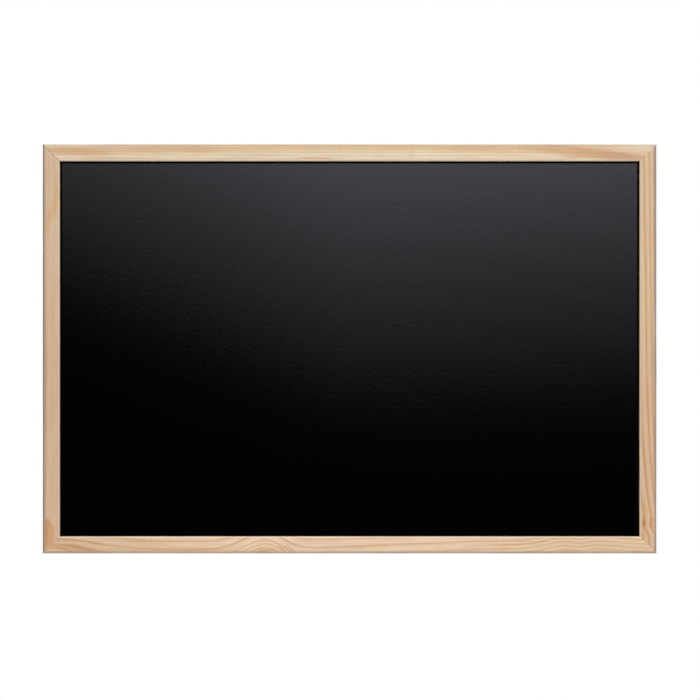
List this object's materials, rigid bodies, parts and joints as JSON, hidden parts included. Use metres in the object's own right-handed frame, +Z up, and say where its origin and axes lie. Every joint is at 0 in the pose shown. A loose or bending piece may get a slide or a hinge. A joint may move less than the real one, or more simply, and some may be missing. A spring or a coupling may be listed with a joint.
{
  "type": "wall chalkboard",
  "caption": "Rectangular black chalk-writing board in a mitred pine frame, hung on a wall by swinging wire rings on its back",
  "frame": {"origin": "the middle of the top rail's back face, which goes to the wall; the wall itself stands 3.56 mm behind it, on the bumpers", "axes": "+X along the width, to the right as the board is read; +Y from the front face back to the wall; +Z up"},
  "size_m": [0.6, 0.0176, 0.4],
  "materials": {
    "pine": "planed and sanded pine, unfinished",
    "chalk_surface": "satin black chalk surface with a fine stipple",
    "hardboard": "brown pressed fibre board",
    "bright_steel": "bright pressed steel",
    "zinc_plate": "zinc plated steel",
    "pad_rubber": "matt soft rubber"
  },
  "bodies": {
    "board": {"top_rail": "pine", "bottom_rail": "pine", "left_stile": "pine", "right_stile": "pine", "writing_sheet": "chalk_surface", "core_board": "hardboard", "top_left_v_nails": "bright_steel", "top_right_v_nails": "bright_steel", "bottom_left_v_nails": "bright_steel", "bottom_right_v_nails": "bright_steel", "top_points": "bright_steel", "bottom_points": "bright_steel", "left_points": "bright_steel", "right_points": "bright_steel", "left_hanger_strap": "zinc_plate", "right_hanger_strap": "zinc_plate", "left_hanger_screw": "zinc_plate", "right_hanger_screw": "zinc_plate", "left_bumper": "pad_rubber", "right_bumper": "pad_rubber"},
    "left_ring": {"left_hanger_ring": "zinc_plate"},
    "right_ring": {"right_hanger_ring": "zinc_plate"}
  },
  "joints": [
    {"name": "left_ring_swing", "type": "hinge", "parent": "board", "child": "left_ring", "pos_m": [-0.294, 0.00168, -0.0845], "axis": [1, 0, 0], "range_deg": [0, 180]},
    {"name": "right_ring_swing", "type": "hinge", "parent": "board", "child": "right_ring", "pos_m": [0.294, 0.00168, -0.0845], "axis": [1, 0, 0], "range_deg": [0, 180]}
  ]
}
